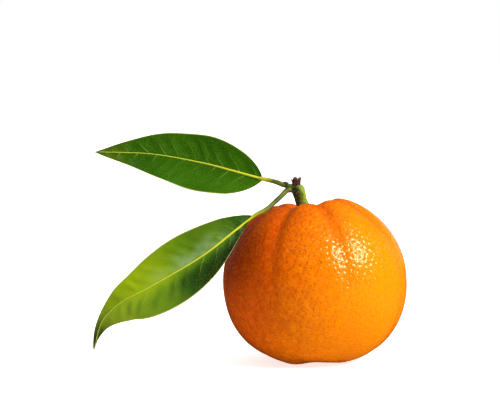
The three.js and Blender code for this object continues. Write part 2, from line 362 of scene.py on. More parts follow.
# Random ripeness patches plus painted shade pick the skin colour: deep red-orange on the shaded side,
# yellow-orange on the lit side.
ripeness_and_painted_shade = reckon(tree, "ADD", painted_lit_side.outputs[0], ripeness.outputs[0])
skin_and_painted_shade_tone = add(tree, "ShaderNodeValToRGB", {"Fac": ripeness_and_painted_shade.outputs[0]}, stops=[
    (0.0, "#e25400"), (0.20, "#ea5e00"), (0.32, "#f26f00"), (0.44, "#fb8000"), (0.64, "#fd8700"),
    (0.8, "#f78700"), (1.0, "#f48a00")])
# Painted shade in the creases: darker red-orange in the furrows.
furrow_shade_share = reckon(tree, "MULTIPLY", furrow, 0.6, use_clamp=True)
furrow_shaded = blend(tree, furrow_shade_share.outputs[0], skin_and_painted_shade_tone.outputs[0], colour("#d84e02"))
# Painted shadow of the lower leaf: the skin near it is darker and redder.
leaf_shadow_reach = add(tree, "ShaderNodeVectorMath", {0: place, 1: LEAF_SHADE_MIDDLE}, operation="DISTANCE")
leaf_shadow_share = spread_over(tree, leaf_shadow_reach.outputs["Value"], (5 * MM, 22 * MM), (0.88, 0.0), soft=True)
leaf_shadowed = blend(tree, leaf_shadow_share.outputs[0], furrow_shaded.outputs[2], colour("#8c1e00"))
glands = add(tree, "ShaderNodeTexVoronoi", {"Vector": place, "Scale": 900.0})
gland_share = spread_over(tree, glands.outputs["Distance"], (0.1, 0.6), (0.16, 0.0))
oily = blend(tree, gland_share.outputs[0], leaf_shadowed.outputs[2], colour("#ffb02a"))
# Leathery mottling, with painted shade making it darker and strongest on the side away from the lamp.
mottle = noise(tree, 420.0, 2.0, place, roughness=0.4)
mottle_depth = spread_over(tree, painted_lit_side.outputs[0], (0.2, 0.8), (0.42, 0.03))
mottle_dark = spread_over(tree, mottle.outputs[0], (0.62, 0.36))
mottle_share = reckon(tree, "MULTIPLY", mottle_dark.outputs[0], mottle_depth.outputs[0])
leathery = blend(tree, mottle_share.outputs[0], oily.outputs[2], colour("#b84002"))
# Painted shade: the pits show darkest on the side away from the lamp and fade on the lit side.
pore_painted_shade = spread_over(tree, painted_lit_side.outputs[0], (0.45, 0.85), (0.75, 0.14))
pore_share = reckon(tree, "MULTIPLY", pore, pore_painted_shade.outputs[0], use_clamp=True)
pored = blend(tree, pore_share.outputs[0], leathery.outputs[2], colour("#a83c02"))
# A few dark specks, the marks that every picked fruit has.
specks = add(tree, "ShaderNodeTexVoronoi", {"Vector": place, "Scale": 135.0, "Randomness": 1.0})
speck_share = spread_over(tree, specks.outputs["Distance"], (0.03, 0.07), (0.7, 0.0))
specked = blend(tree, speck_share.outputs[0], pored.outputs[2], colour("#7a2f04"))
tree.links.new(specked.outputs[2], surface.inputs["Base Color"])
wax = noise(tree, 400.0, 2.0, place)
gloss = spread_over(tree, wax.outputs[0], (0, 1), (0.08, 0.12))
dulled = reckon(tree, "MULTIPLY_ADD", pore, 0.15, gloss.outputs[0])
tree.links.new(dulled.outputs[0], surface.inputs["Roughness"])
fine = noise(tree, 1100.0, 1.0, place)
level = reckon(tree, "MULTIPLY", fine.outputs[0], 0.05)
raised = reckon(tree, "SUBTRACT", level.outputs[0], pore)
bump = add(tree, "ShaderNodeBump", {"Height": raised.outputs[0], "Strength": 1.0, "Distance": PIT_RELIEF})
tree.links.new(bump.outputs[0], surface.inputs["Normal"])
surface.inputs["IOR"].default_value = 1.45
surface.inputs["Specular IOR Level"].default_value = 0.6
surface.inputs["Specular Tint"].default_value = colour("#fff3c4")
surface.inputs["Subsurface Weight"].default_value = 0.12
surface.inputs["Subsurface Radius"].default_value = (1.0, 0.32, 0.06)
surface.inputs["Subsurface Scale"].default_value = 1.6 * MM

# The glands sit a set spacing apart all over the peel, each in a small round pit. Between
# them the skin is never quite even: it dents and puckers a little.
recipe, size = new_recipe("peel pits", PEEL_SIZES)
glands = add(recipe, "GeometryNodeDistributePointsOnFaces", {
    "Mesh": size["Geometry"], "Distance Min": size["Pore spacing"], "Density Max": 2.5e6, "Seed": 7},
    distribute_method="POISSON")
nearest = add(recipe, "GeometryNodeProximity", {0: glands.outputs["Points"]}, target_element="POINTS")
inward = spread_over(recipe, nearest.outputs["Distance"], (0, size["Pore radius"]), (1.0, 0.0))
shape = reckon(recipe, "POWER", inward.outputs[0], 2.0)
luck = add(recipe, "ShaderNodeTexWhiteNoise", {"Vector": nearest.outputs["Position"]}, noise_dimensions="3D")
vigour = spread_over(recipe, luck.outputs["Value"], (0, 1), (0.6, 1.0))
pit = reckon(recipe, "MULTIPLY", shape.outputs[0], vigour.outputs[0])
sunk = reckon(recipe, "MULTIPLY", pit.outputs[0], size["Pore depth"])
dents = noise(recipe, 75.0, 1.0)
dent = reckon(recipe, "SUBTRACT", dents.outputs[0], 0.5)
dented = reckon(recipe, "MULTIPLY", dent.outputs[0], size["Dent height"])
puckers = noise(recipe, 330.0, 1.0)
pucker = reckon(recipe, "SUBTRACT", puckers.outputs[0], 0.5)
puckered = reckon(recipe, "MULTIPLY_ADD", pucker.outputs[0], size["Pucker height"], dented.outputs[0])
rise = reckon(recipe, "SUBTRACT", puckered.outputs[0], sunk.outputs[0])
outward = add(recipe, "GeometryNodeInputNormal").outputs[0]
shift = add(recipe, "ShaderNodeVectorMath", {0: outward, "Scale": rise.outputs[0]}, operation="SCALE")
centred = add(recipe, "GeometryNodeStoreNamedAttribute", {
    "Geometry": size["Geometry"], "Name": "gland", "Value": nearest.outputs["Position"]},
    data_type="FLOAT_VECTOR", domain="POINT")
rated = add(recipe, "GeometryNodeStoreNamedAttribute", {
    "Geometry": centred.outputs[0], "Name": "vigour", "Value": vigour.outputs[0]},
    data_type="FLOAT", domain="POINT")
moved = add(recipe, "GeometryNodeSetPosition", {"Geometry": rated.outputs[0], "Offset": shift.outputs[0]})
position = add(recipe, "GeometryNodeInputPosition").outputs[0]
above_floor = add(recipe, "ShaderNodeVectorMath", {0: position, 1: (-1.0, -1.0, 0.0)}, operation="MAXIMUM")
rested = add(recipe, "GeometryNodeSetPosition", {
    "Geometry": moved.outputs[0], "Position": above_floor.outputs[0]})
finish_recipe(recipe, rested.outputs[0], peel_material)

directions, faces = round_cube(PEEL_CELLS)
points, furrow_depths = skin(directions)
points = fruit_frame(points)
points[:, 2] = np.maximum(points[:, 2], 0)
mandarin = new_piece("mandarin", points, faces, {"furrow": furrow_depths})
grow(mandarin, recipe, PEEL_SIZES)
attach(mandarin, "root")
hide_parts("fruit")

# ---- Leaves ----
# Two fresh citrus leaves. Each is a thin, tough blade with a waxy upper face and a paler, duller
# back, stiffened by a pale midrib that stands out most at the back.

BLADE_THICKNESS = 0.42
BLADE_END = 0.12
BLADE_STEPS, BLADE_COLUMNS = 300, 40
EDGE_SOFTENING = np.linspace(-0.1, 0.1, 9)
RIB_BASE, RIB_TIP = 0.50, 0.15
LEAF_SIZES = {
    "Vein spacing": 5.5 * MM,
    "Vein lean": 0.74,
    "Vein curl": 24.0,
    "Vein wander": 1.1,
    "Pucker height": 0.26 * MM,
    "Ripple height": 0.10 * MM,
}
# Each side of the midrib is a skewed arch: half-width, skew, fullness, the share of the length
# that the arch takes up, and the width and shape of the tail that draws out the tip.
LEAVES = {
    "upper_leaf": {
        "midrib": [
            (-18.4, 1, 63.3), (-28.5, 3.2, 66), (-40.1, 5, 68.8), (-57.6, 6.2, 71.7), (-76.9, 4.5, 72.5)],
        "above": (9.9, 0.70, 0.99, 1, 0, 1),
        "below": (11, 0.67, 0.93, 1, 0, 1),
        "face_up": math.radians(20),
        "dish": 0.15,
        "waves": (0.45, 3.4, 0.8),
        "tones": ["#153801", "#214c02", "#2e5b03", "#437104"],
        # Painted shade along the blade and on the half below the midrib, the tip's painted shade, and the
        # painted sheen:
        "painted_shade_along": (0.27, 0.22), "fold_shade": -0.12,
        "tip": "#405502", "shine": 0.06, "painted_sheen": 0.0,
    },
    "lower_leaf": {
        "midrib": [
            (-21.3, -9.8, 51.5), (-28.4, -12.6, 46.2), (-39.7, -15.5, 37.8), (-56.7, -17, 27.9),
            (-66.7, -16, 22.4), (-73.4, -13, 15.3), (-76.5, -9, 5)],
        "above": (11.2, 0.86, 0.88, 0.84, 5.4, 0.5),
        "below": (10.5, 1.04, 1.24, 0.97, 0.3, 0.4),
        "face_up": math.radians(15),
        "dish": -0.25,
        "waves": (0.35, 2.6, 2.0),
        "tones": ["#041601", "#244b03", "#5c7e04", "#93aa06"],
        # Painted shade along the blade and on the half below the midrib, the tip's painted shade, and the
        # painted sheen:
        "painted_shade_along": (0.07, 0.60), "fold_shade": 0.39,
        "tip": "#2c3d01", "shine": 0.22, "painted_sheen": 0.46,
    },
}


def smooth_line(corners, shares):
    """Points, and the directions there, at shares of the way along a smooth line through corners."""
    path = np.array(corners, float)
    path = np.vstack([2 * path[0] - path[1], path, 2 * path[-1] - path[-2]])
    way = np.linspace(0, len(path) - 3 - 1e-9, 4001)
    first = way.astype(int)
    u = (way - first)[:, None]
    a, b, c, d = (path[first + k] for k in range(4))
    path = 0.5 * (
        2 * b + (c - a) * u + (2 * a - 5 * b + 4 * c - d) * u ** 2 + (3 * b - a - 3 * c + d) * u ** 3)
    length = np.concatenate([[0], np.cumsum(np.linalg.norm(np.diff(path, axis=0), axis=1))])
    goal = np.asarray(shares) * length[-1]
    points, ahead = (np.stack([np.interp(goal, length, line[:, k]) for k in range(3)], -1)
        for line in (path, np.gradient(path, axis=0)))
    return points, ahead / np.linalg.norm(ahead, axis=-1, keepdims=True), goal


def half_width(side, share):
    width, skew, fullness, blade, tail, tail_shape = side
    widths = []
    for slide in EDGE_SOFTENING:
        at = share + slide * 4 * share * (1 - share)
        arch = width * np.maximum(0, np.sin(math.pi * np.minimum(at / blade, 1) ** skew)) ** fullness
        widths.append(np.hypot(arch, tail * (1 - at) ** tail_shape * at))
    return np.maximum(BLADE_END, np.mean(widths, axis=0))


def blade(leaf):
    """A closed thin sheet along the midrib, and what each point needs to know to grow veins."""
    share = np.linspace(0, 1, BLADE_STEPS + 1)
    spread = np.linspace(-1, 1, 2 * BLADE_COLUMNS + 1)
    y = np.sign(spread) * np.sin(math.pi / 2 * np.abs(spread) ** 1.5)
    s, y = np.meshgrid(share, y, indexing="ij")
    line, along, way = smooth_line(leaf["midrib"], share)
    facing = np.array([0, -math.cos(leaf["face_up"]), math.sin(leaf["face_up"])])
    across = np.cross(facing, along)
    across /= np.linalg.norm(across, axis=1)[:, None]
    face = np.cross(along, across)
    width = np.where(y > 0, half_width(leaf["below"], s), half_width(leaf["above"], s))
    aside = width * y
    height, count, start = leaf["waves"]
    phase = 2 * math.pi * count * s + start * (2 + np.sign(y))
    wave = height * np.abs(y) ** 2.5 * np.sin(math.pi * s) * np.sin(phase)
    rib = np.abs(aside) / (RIB_TIP + (RIB_BASE - RIB_TIP) * (1 - s) ** 2.2)
    tall = 0.14 + 0.3 * np.exp(-s * 14)
    lift = leaf["dish"] * width * np.abs(y) ** 1.8 + wave - 0.3 * np.exp(-(aside / 1.3) ** 2) * (1 - s)
    half = 0.5 * BLADE_THICKNESS * np.sqrt(1 - np.abs(y) ** 24) * (0.45 + 0.55 * (1 - np.abs(y) ** 3))
    top = lift + half + (tall + 0.22 * (1 - s)) * np.exp(-(rib / 0.8) ** 4)
    back = lift - half - (0.12 + 0.75 * (1 - s)) * np.exp(-(rib / 1.1) ** 2)
    sheets = [
        line[:, None] + across[:, None] * aside[..., None] + face[:, None] * level[..., None]
        for level in (top, back)]
    count = s.size
    number = np.arange(count).reshape(s.shape)
    under = number + count
    under[:, 0], under[:, -1] = number[:, 0], number[:, -1]
    upper_faces = np.stack([number[:-1, :-1], number[:-1, 1:], number[1:, 1:], number[1:, :-1]], -1)
    back_faces = np.stack([under[:-1, :-1], under[1:, :-1], under[1:, 1:], under[:-1, 1:]], -1)
    ends = [
        np.stack([number[0, :-1], under[0, :-1], under[0, 1:], number[0, 1:]], -1),
        np.stack([number[-1, :-1], number[-1, 1:], under[-1, 1:], under[-1, :-1]], -1)]
    faces = np.concatenate([upper_faces.reshape(-1, 4), back_faces.reshape(-1, 4), *ends])
    faces = [list(dict.fromkeys(f)) for f in faces.tolist()]
    way = np.broadcast_to(way[:, None], s.shape)
    fields = {
        "along": way * MM, "across": aside * MM, "reach": np.abs(y), "rib": rib, "share": s, "back": 0 * s}
    both = {label: np.concatenate([v.ravel(), v.ravel()]) for label, v in fields.items()}
    both["back"][count:] = 1
    return np.concatenate([sheet.reshape(-1, 3) for sheet in sheets]), faces, both


# The side veins leave the midrib on alternate sides and curl towards the tip. The blade swells
# a little between them, so that each lies in a shallow valley on the upper face.
recipe, size = new_recipe("leaf veins", LEAF_SIZES)
along, across, reach, back = (
    add(recipe, "GeometryNodeInputNamedAttribute", {"Name": label}, data_type="FLOAT").outputs[0]
    for label in ("along", "across", "reach", "back"))
out = reckon(recipe, "ABSOLUTE", across)
curl = reckon(recipe, "MULTIPLY_ADD", out.outputs[0], size["Vein curl"], size["Vein lean"])
drift = reckon(recipe, "MULTIPLY", out.outputs[0], curl.outputs[0])
start = reckon(recipe, "SUBTRACT", along, drift.outputs[0])
turn = reckon(recipe, "DIVIDE", start.outputs[0], size["Vein spacing"])
side = reckon(recipe, "GREATER_THAN", across, 0.0)
offset = reckon(recipe, "MULTIPLY_ADD", side.outputs[0], 0.45, turn.outputs[0])
unrest = noise(recipe, 90.0, 1.0)
phase = reckon(recipe, "MULTIPLY_ADD", unrest.outputs[0], size["Vein wander"], offset.outputs[0])
aside = reckon(recipe, "PINGPONG", phase.outputs[0], 0.5)
between = spread_over(recipe, aside.outputs[0], (0, 0.5), soft=True)
inner = spread_over(recipe, reach, (0.06, 0.3), soft=True)
outer = spread_over(recipe, reach, (0.55, 0.97), (1.0, 0.0), soft=True)
open_blade = reckon(recipe, "MULTIPLY", inner.outputs[0], outer.outputs[0])
swell = reckon(recipe, "MULTIPLY", between.outputs[0], size["Pucker height"])
ripples = noise(recipe, 240.0, 1.0)
ripple = reckon(recipe, "MULTIPLY_ADD", ripples.outputs[0], size["Ripple height"], swell.outputs[0])
rise = reckon(recipe, "MULTIPLY", ripple.outputs[0], open_blade.outputs[0])
turned = reckon(recipe, "MULTIPLY_ADD", back, -2.0, 1.0)
signed = reckon(recipe, "MULTIPLY", rise.outputs[0], turned.outputs[0])
outward = add(recipe, "GeometryNodeInputNormal").outputs[0]
shift = add(recipe, "ShaderNodeVectorMath", {0: outward, "Scale": signed.outputs[0]}, operation="SCALE")
veined = add(recipe, "GeometryNodeStoreNamedAttribute", {
    "Geometry": size["Geometry"], "Name": "vein_turn", "Value": phase.outputs[0]},
    data_type="FLOAT", domain="POINT")
moved = add(recipe, "GeometryNodeSetPosition", {"Geometry": veined.outputs[0], "Offset": shift.outputs[0]})

for name, leaf in LEAVES.items():
    # A waxy leaf: the upper face is deep green with a soft shine and fine pale veins, and the back
    # is paler and matt. The midrib and the margin hold less green than the blade.
    leaf_material, tree, surface = new_material("waxy citrus " + name.replace("_", " "))
    place = add(tree, "ShaderNodeTexCoord").outputs["Object"]
    given = {
        label: number_from(tree, label)
        for label in ("across", "reach", "rib", "share", "back", "vein_turn")}
    clouds = noise(tree, 60.0, 4.0, place)
    # Painted shade along the blade: on the lower leaf the tone runs from dark at the base to bright towards
    # the tip, on the upper leaf it darkens a little towards the tip, under random clouds.
    painted_shade_along = spread_over(tree, given["share"], (0.02, 0.62), (leaf["painted_shade_along"][0], leaf["painted_shade_along"][1]))
    clouds_and_painted_shade = reckon(tree, "MULTIPLY_ADD", clouds.outputs[0], 0.4, painted_shade_along.outputs[0])
    # Painted shade of the fold: near the base, the half below the midrib is darker on the lower leaf and a
    # little lighter on the upper leaf.
    lower_side = spread_over(tree, given["across"], (-0.5 * MM, 5 * MM), (0.0, leaf["fold_shade"]), soft=True)
    near_base = spread_over(tree, given["share"], (0.15, 0.92), (1.0, 0.0))
    painted_fold_shade = reckon(tree, "MULTIPLY", lower_side.outputs[0], near_base.outputs[0])
    toned = reckon(tree, "SUBTRACT", clouds_and_painted_shade.outputs[0], painted_fold_shade.outputs[0])
    tone = add(tree, "ShaderNodeValToRGB", {"Fac": toned.outputs[0]}, stops=list(zip(
        (0.1, 0.35, 0.55, 0.8), leaf["tones"])))
    # Painted shade: the tip is darker.
    tip_shade_share = spread_over(tree, given["share"], (0.76, 0.94), soft=True)
    tip_shaded = blend(tree, tip_shade_share.outputs[0], tone.outputs[0], colour(leaf["tip"]))
    # A painted sheen: a pale grey-green reflection in soft streaks beside the midrib, above it.
    sheen_side = spread_over(tree, given["across"], (-7.0 * MM, -0.8 * MM), (0, leaf["painted_sheen"]), soft=True)
    sheen_edge = spread_over(tree, given["across"], (-0.6 * MM, 0.4 * MM), (1.0, 0.0))
    sheen_start = spread_over(tree, given["share"], (0.10, 0.26), soft=True)
    sheen_end = spread_over(tree, given["share"], (0.28, 0.64), (1.0, 0.0), soft=True)
    sheen_streaks = noise(tree, 170.0, 2.0, place)
    sheen_streak = spread_over(tree, sheen_streaks.outputs[0], (0.36, 0.60))
    sheen_there = sheen_side
    for limit in (sheen_edge, sheen_start, sheen_end, sheen_streak):
        sheen_there = reckon(tree, "MULTIPLY", sheen_there.outputs[0], limit.outputs[0])
    sheened = blend(tree, sheen_there.outputs[0], tip_shaded.outputs[2], colour("#9cb48c"))
    cells = add(tree, "ShaderNodeTexVoronoi", {"Vector": place, "Scale": 1000.0}, feature="DISTANCE_TO_EDGE")
    net = spread_over(tree, cells.outputs["Distance"], (0, 0.12), (0.10, 0.0))
    netted = blend(tree, net.outputs[0], sheened.outputs[2], colour("#8fae30"))
    nearest_vein = reckon(tree, "PINGPONG", given["vein_turn"], 0.5)
    vein = spread_over(tree, nearest_vein.outputs[0], (0.012, 0.045), (1.0, 0.0), soft=True)
    vein_fade = spread_over(tree, given["reach"], (0.15, 0.75), (0.34, 0.0))
    vein_share = reckon(tree, "MULTIPLY", vein.outputs[0], vein_fade.outputs[0])
    patchy = noise(tree, 130.0, 2.0, place)
    patch = spread_over(tree, patchy.outputs[0], (0.35, 0.6))
    shown = reckon(tree, "MULTIPLY", vein_share.outputs[0], patch.outputs[0])
    vein_drawn = blend(tree, shown.outputs[0], netted.outputs[2], colour("#a9bd4e"))
    rib_tone = add(tree, "ShaderNodeValToRGB", {"Fac": given["share"]}, stops=[
        (0.0, "#e2e238"), (0.3, "#c4c838"), (0.9, "#b0bc40")])
    rib_share = spread_over(tree, given["rib"], (0.6, 1.15), (0.95, 0.0), soft=True)
    rib_drawn = blend(tree, rib_share.outputs[0], vein_drawn.outputs[2], rib_tone.outputs[0])
    rim_share = spread_over(tree, given["reach"], (0.96, 0.985), (0.0, 0.85))
    rimmed = blend(tree, rim_share.outputs[0], rib_drawn.outputs[2], colour("#c8c878"))
    back_tone = blend(tree, clouds.outputs[0], colour("#6f8f3a"), colour("#8ba452"))
    back_veined = blend(tree, vein_share.outputs[0], back_tone.outputs[2], colour("#b3c070"))
    back_ribbed = blend(tree, rib_share.outputs[0], back_veined.outputs[2], colour("#b4b85a"))
    both_faces = blend(tree, given["back"], rimmed.outputs[2], back_ribbed.outputs[2])
    tree.links.new(both_faces.outputs[2], surface.inputs["Base Color"])
    matt = spread_over(tree, given["back"], (0, 1), (0.32, 0.6))
    rough = reckon(tree, "MULTIPLY_ADD", clouds.outputs[0], 0.12, matt.outputs[0])
    tree.links.new(rough.outputs[0], surface.inputs["Roughness"])
    leather = noise(tree, 1500.0, 2.0, place)
    cell_height = reckon(tree, "MULTIPLY_ADD", net.outputs[0], -2.0, leather.outputs[0])
    veined_height = reckon(tree, "MULTIPLY_ADD", shown.outputs[0], -1.2, cell_height.outputs[0])
    bump = add(tree, "ShaderNodeBump", {
        "Height": veined_height.outputs[0], "Strength": 0.6, "Distance": 0.05 * MM})
    tree.links.new(bump.outputs[0], surface.inputs["Normal"])
    surface.inputs["IOR"].default_value = 1.45
    surface.inputs["Specular IOR Level"].default_value = leaf["shine"]

    points, faces, fields = blade(leaf)
    piece = new_piece(name.replace("_", " ").title().replace(" ", "_"), points, faces, fields)
    leaf_recipe = recipe.copy()
    finish_recipe(leaf_recipe, leaf_recipe.nodes[moved.name].outputs[0], leaf_material)
    grow(piece, leaf_recipe, LEAF_SIZES)
    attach(piece, "root")
    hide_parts(name)

# ---- Leaf stalks ----
# Two stiff green stalks, one for each leaf. Each grows from the cushion on the twig and runs on
# into the leaf's midrib, and its skin is finely ribbed across.

STALK_SIDES, STALK_STEPS = 28, 150
STALK_RIB = 0.42
STALK_SIZES = {"Rib spacing": STALK_RIB * MM, "Rib height": 0.06 * MM, "Knot height": 0.04 * MM}
STALKS = {
    "upper_petiole": (
        [(-9.4, 0, 60.9), (-11.6, 0, 61.5), (-12.9, 0.1, 62.1), (-15.8, 0.5, 62.9), (-17.9, 0.9, 63.3),
         (-20.6, 1.5, 63.9)],
        [(0, 0.78), (0.2, 0.86), (0.45, 0.79), (0.75, 0.78), (0.88, 0.6), (1, 0.2)], 1.0),
    "lower_petiole": (
        [(-8.7, -0.5, 60.3), (-10.1, -1.4, 59.4), (-12.3, -3.5, 57.4), (-16.3, -7.2, 54.1), (-18.2, -8.6, 53),
         (-20.9, -9.6, 51.8), (-23.6, -10.8, 49.8)],
        [(0, 0.9), (0.12, 0.9), (0.3, 0.81), (0.7, 0.78), (0.86, 0.6), (1, 0.2)], 0.72),
}


def joined_rings(steps, sides):
    """The faces that join a row of rings of points into one closed skin."""
    first = np.arange(sides)
    second = (first + 1) % sides
    faces = [list(first), list(steps * sides + first[::-1])]
    for step in range(steps):
        low, high = step * sides, (step + 1) * sides
        faces += np.stack([low + first, high + first, high + second, low + second], -1).tolist()
    return faces


def tube(corners, radii, sides, steps):
    """A closed round stalk along a smooth line, with its radius given at shares of the way."""
    share = np.linspace(0, 1, steps + 1)
    line, along, way = smooth_line(corners, share)
    radius = np.interp(share, *np.transpose(radii))[:, None, None]
    across = np.cross(along, (0, -1, 0))
    across /= np.linalg.norm(across, axis=1)[:, None]
    front = np.cross(across, along)
    turn = np.linspace(0, 2 * math.pi, sides, endpoint=False)[None, :, None]
    points = line[:, None] + radius * (np.cos(turn) * across[:, None] + np.sin(turn) * front[:, None])
    return points.reshape(-1, 3), joined_rings(steps, sides), np.repeat(way, sides)


# Young green skin, slightly waxy, yellower towards the leaf, with painted shade darkening it between its
# ribs.
stalk_material, tree, surface = new_material("green leaf stalk skin")
place = add(tree, "ShaderNodeTexCoord").outputs["Object"]
along = number_from(tree, "along")
clouds = noise(tree, 260.0, 4.0, place)
tone = add(tree, "ShaderNodeValToRGB", {"Fac": clouds.outputs[0]}, stops=[
    (0.25, "#3c4509"), (0.45, "#59630e"), (0.6, "#717c15"), (0.8, "#8b9520")])
ring = reckon(tree, "PINGPONG", along, STALK_RIB * MM / 2)
groove_shade_share = spread_over(tree, ring.outputs[0], (0, STALK_RIB * MM / 2), (0.55, 0.0))
groove_shaded = blend(tree, groove_shade_share.outputs[0], tone.outputs[0], colour("#3a440a"))
yellowing = number_from(tree, "yellowing")
near_leaf = spread_over(tree, yellowing, (0.45, 0.72), (0.0, 0.85))
yellowed = blend(tree, near_leaf.outputs[0], groove_shaded.outputs[2], colour("#ccce30"))
tree.links.new(yellowed.outputs[2], surface.inputs["Base Color"])
rough = spread_over(tree, clouds.outputs[0], (0, 1), (0.32, 0.55))
tree.links.new(rough.outputs[0], surface.inputs["Roughness"])
grain = noise(tree, 1600.0, 2.0, place)
bump = add(tree, "ShaderNodeBump", {"Height": grain.outputs[0], "Strength": 0.6, "Distance": 0.04 * MM})
tree.links.new(bump.outputs[0], surface.inputs["Normal"])
surface.inputs["Specular IOR Level"].default_value = 0.2

recipe, size = new_recipe("stalk ribs", STALK_SIZES)
along = add(recipe, "GeometryNodeInputNamedAttribute", {"Name": "along"}, data_type="FLOAT").outputs[0]
turns = reckon(recipe, "DIVIDE", along, size["Rib spacing"])
ring = reckon(recipe, "PINGPONG", turns.outputs[0], 0.5)
rib = reckon(recipe, "MULTIPLY", ring.outputs[0], size["Rib height"])
knots = noise(recipe, 420.0, 1.0)
knot = reckon(recipe, "SUBTRACT", knots.outputs[0], 0.5)
rise = reckon(recipe, "MULTIPLY_ADD", knot.outputs[0], size["Knot height"], rib.outputs[0])
outward = add(recipe, "GeometryNodeInputNormal").outputs[0]
shift = add(recipe, "ShaderNodeVectorMath", {0: outward, "Scale": rise.outputs[0]}, operation="SCALE")
moved = add(recipe, "GeometryNodeSetPosition", {"Geometry": size["Geometry"], "Offset": shift.outputs[0]})
finish_recipe(recipe, moved.outputs[0], stalk_material)

for name, (corners, radii, yellowing) in STALKS.items():
    points, faces, way = tube(corners, radii, STALK_SIDES, STALK_STEPS)
    piece = new_piece(name.replace("petiole", "leaf_stalk"), points, faces, {
        "along": way * MM, "yellowing": way / way[-1] * yellowing})
    grow(piece, recipe, STALK_SIZES)
    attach(piece, "root")
    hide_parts(name)

# ---- Twig ----
# The short young twig that was cut off with the fruit. Its bark is still green, and it swells
# into a cushion on one side where the leaf stalks grow.

TWIG_TUBES = [
    ([(-2.9, 0, 51.0), (-3.6, 0, 53.0), (-4.75, 0, 55.2), (-5.35, 0, 57.4), (-6.1, 0, 60.2), (-6.1, 0, 61.6)],
     [(0, 2.4), (0.22, 2.2), (0.55, 2.1), (0.8, 2.35), (0.9, 2.3), (0.97, 1.75), (1, 0.9)], 40),
    ([(-6, 0, 60.0), (-8.4, 0, 60.5), (-10.6, 0.1, 61.3)],
     [(0, 1.5), (0.5, 1.25), (0.9, 0.95), (1, 0.7)], 24),
    ([(-6.2, 0, 59.4), (-8.3, -0.3, 59.9), (-10.0, -1.3, 59.5)], [(0, 1.6), (0.5, 1.15), (1, 0.85)], 24),
]
TWIG_VOXEL = 0.13 * MM
TWIG_SOFTENING, TWIG_SOFTENINGS = 0.6, 14
# The side the bark's painted light comes from.
BARK_LIT_FROM = (0.88, -0.08, 0.25)
TWIG_SIZES = {
    "Fleck spacing": 0.75 * MM,
    "Fleck size": 0.20 * MM,
    "Lump height": 0.52 * MM,
    "Ridge height": 0.16 * MM,
}

# Young bark: a thin green skin, finely grooved along the twig, with small pale raised flecks that let the
# wood breathe.
# Painted light and shade make it brighter green on the side towards the lamp and dark brown on the far side.
bark_material, tree, surface = new_material("young green bark")
place = add(tree, "ShaderNodeTexCoord").outputs["Object"]
bark_painted_lit_side = number_from(tree, "bark_painted_lit_side")
fleck = number_from(tree, "fleck")
clouds = noise(tree, 420.0, 5.0, place, roughness=0.6)
# Painted light and shade: the stored lamp side, plus random clouds, picks the bark colour from dark brown to
# bright green.
share = reckon(tree, "MULTIPLY_ADD", clouds.outputs[0], 1.15, bark_painted_lit_side)
tone = add(tree, "ShaderNodeValToRGB", {"Fac": share.outputs[0]}, stops=[
    (0.30, "#2b2a05"), (0.55, "#444c08"), (0.85, "#66790c"), (1.0, "#90a416")])
pale = reckon(tree, "MULTIPLY", fleck, 0.8)
flecked = blend(tree, pale.outputs[0], tone.outputs[0], colour("#9ca048"))
tree.links.new(flecked.outputs[2], surface.inputs["Base Color"])
rough = spread_over(tree, clouds.outputs[0], (0, 1), (0.38, 0.7))
tree.links.new(rough.outputs[0], surface.inputs["Roughness"])
stretched = add(tree, "ShaderNodeMapping", {"Vector": place, "Rotation": (0, math.radians(-22), 0),
                                            "Scale": (1.0, 1.0, 0.22)})
grooves = noise(tree, 2200.0, 2.0, stretched.outputs[0])
bump = add(tree, "ShaderNodeBump", {"Height": grooves.outputs[0], "Strength": 0.8, "Distance": 0.08 * MM})
tree.links.new(bump.outputs[0], surface.inputs["Normal"])
surface.inputs["Specular IOR Level"].default_value = 0.35

recipe, size = new_recipe("bark lumps and flecks", TWIG_SIZES)
lumps = noise(recipe, 330.0, 1.0)
lump = reckon(recipe, "SUBTRACT", lumps.outputs[0], 0.5)
lumped = reckon(recipe, "MULTIPLY", lump.outputs[0], size["Lump height"])
position = add(recipe, "GeometryNodeInputPosition").outputs[0]
drawn_out = add(recipe, "ShaderNodeVectorMath", {0: position, 1: (1.0, 1.0, 0.2)}, operation="MULTIPLY")
ridges = noise(recipe, 1150.0, 1.0, drawn_out.outputs[0])
ridge = reckon(recipe, "SUBTRACT", ridges.outputs[0], 0.5)
rise = reckon(recipe, "MULTIPLY_ADD", ridge.outputs[0], size["Ridge height"], lumped.outputs[0])
outward = add(recipe, "GeometryNodeInputNormal").outputs[0]
shift = add(recipe, "ShaderNodeVectorMath", {0: outward, "Scale": rise.outputs[0]}, operation="SCALE")
moved = add(recipe, "GeometryNodeSetPosition", {"Geometry": size["Geometry"], "Offset": shift.outputs[0]})
# How far each point faces the lamp side, stored for the bark's painted light and shade.
toward_lamp_side = add(recipe, "ShaderNodeVectorMath", {0: outward, 1: BARK_LIT_FROM}, operation="DOT_PRODUCT")
bark_painted_lit_side = spread_over(recipe, toward_lamp_side.outputs["Value"], (-0.3, 0.85), (-0.18, 0.42), soft=True)
lit_side_stored = add(recipe, "GeometryNodeStoreNamedAttribute", {
    "Geometry": moved.outputs[0], "Name": "bark_painted_lit_side", "Value": bark_painted_lit_side.outputs[0]},
    data_type="FLOAT", domain="POINT")
spots = add(recipe, "GeometryNodeDistributePointsOnFaces", {
    "Mesh": lit_side_stored.outputs[0], "Distance Min": size["Fleck spacing"], "Density Max": 3.0e6, "Seed": 4},
    distribute_method="POISSON")
dot = add(recipe, "GeometryNodeMeshIcoSphere", {"Radius": size["Fleck size"], "Subdivisions": 2})
smooth_dot = add(recipe, "GeometryNodeSetShadeSmooth", {0: dot.outputs[0]})
flat_dot = add(recipe, "GeometryNodeTransform", {
    "Geometry": smooth_dot.outputs[0], "Scale": (0.8, 1.5, 0.45)})
